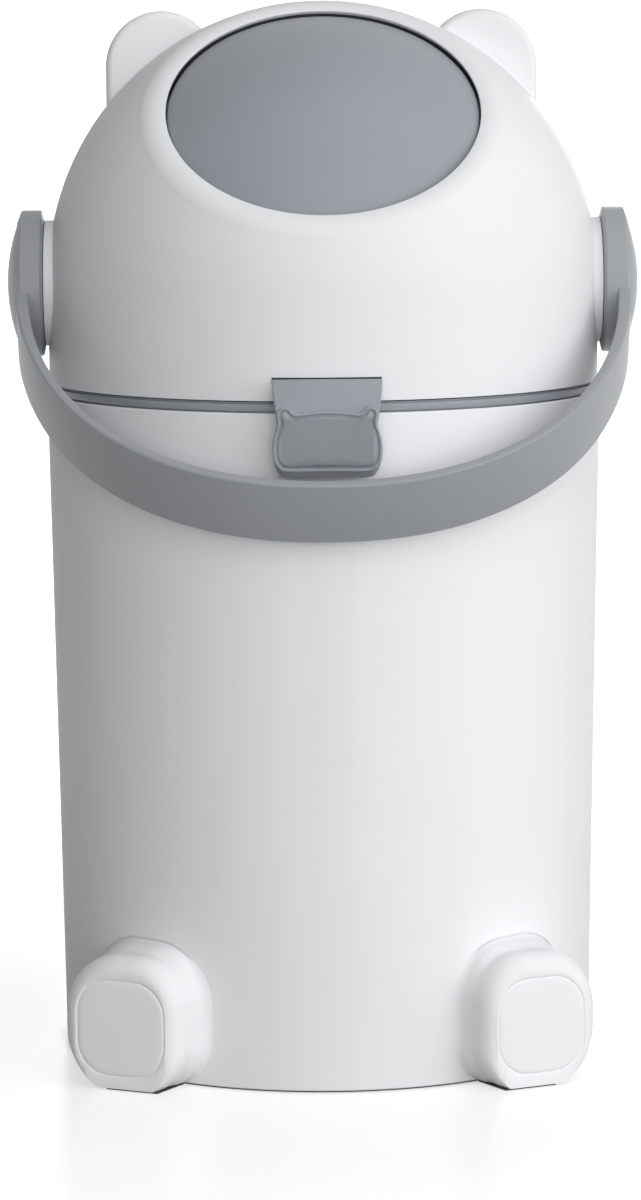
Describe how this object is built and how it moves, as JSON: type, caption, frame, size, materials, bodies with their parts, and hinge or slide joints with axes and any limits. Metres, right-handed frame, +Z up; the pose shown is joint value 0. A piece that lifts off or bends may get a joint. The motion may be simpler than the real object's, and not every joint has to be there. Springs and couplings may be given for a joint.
{
  "type": "nappy bin",
  "caption": "Round upright nappy bin with a domed head, a turning drum behind a tilted opening, a swing-over strap handle, a front latch, ears and paw feet.",
  "frame": {"origin": "centre of the flat base, on the floor", "axes": "+Z up, -Y to the front, where the opening, latch and paws are, +X to the right seen from the front"},
  "size_m": [0.312, 0.3194, 0.5179],
  "materials": {
    "white_plastic": "satin moulded plastic",
    "grey_plastic": "satin moulded plastic",
    "seal_rubber": "matt",
    "bush_nylon": "smooth",
    "steel": "plated"
  },
  "bodies": {
    "bin": {"bin_body": "white_plastic", "paw_left": "white_plastic", "paw_right": "white_plastic", "paw_screws": "steel", "hinge_pin": "steel"},
    "bag_ring": {"bag_ring": "grey_plastic", "ring_gasket": "seal_rubber"},
    "head": {"head_shell": "white_plastic", "head_base": "white_plastic", "head_screws": "steel", "opening_seal": "seal_rubber", "drum_seal": "seal_rubber", "hub_bush_left": "bush_nylon", "hub_bush_right": "bush_nylon", "latch_pin": "steel"},
    "latch": {"latch_flap": "grey_plastic"},
    "drum": {"drum_dome": "grey_plastic", "drum_base": "grey_plastic", "drum_chamber": "grey_plastic", "mouth_ring": "grey_plastic", "trunnion_left": "white_plastic", "trunnion_right": "white_plastic", "handle": "grey_plastic", "hub_cap_left": "grey_plastic", "hub_cap_right": "grey_plastic", "hub_washers": "steel", "hub_screws": "steel"},
    "piston": {"piston": "white_plastic", "piston_seal": "seal_rubber"}
  },
  "joints": [
    {"name": "ring_hinge", "type": "hinge", "parent": "bin", "child": "bag_ring", "pos_m": [0, 0.1461, 0.329], "axis": [-1, 0, 0], "range_deg": [0, 25]},
    {"name": "head_hinge", "type": "hinge", "parent": "bag_ring", "child": "head", "pos_m": [0, 0.1461, 0.329], "axis": [-1, 0, 0], "range_deg": [0, 90]},
    {"name": "latch_hinge", "type": "hinge", "parent": "head", "child": "latch", "pos_m": [0, -0.141, 0.3384], "axis": [-1, 0, 0], "range_deg": [0, 45]},
    {"name": "handle_swing", "type": "hinge", "parent": "head", "child": "drum", "pos_m": [0, 0, 0.38], "axis": [-1, 0, 0], "range_deg": [0, 180]},
    {"name": "piston_slide", "type": "slide", "parent": "drum", "child": "piston", "axis": [0, -0.6239, 0.7815], "range_m": [0, 0.13]}
  ]
}
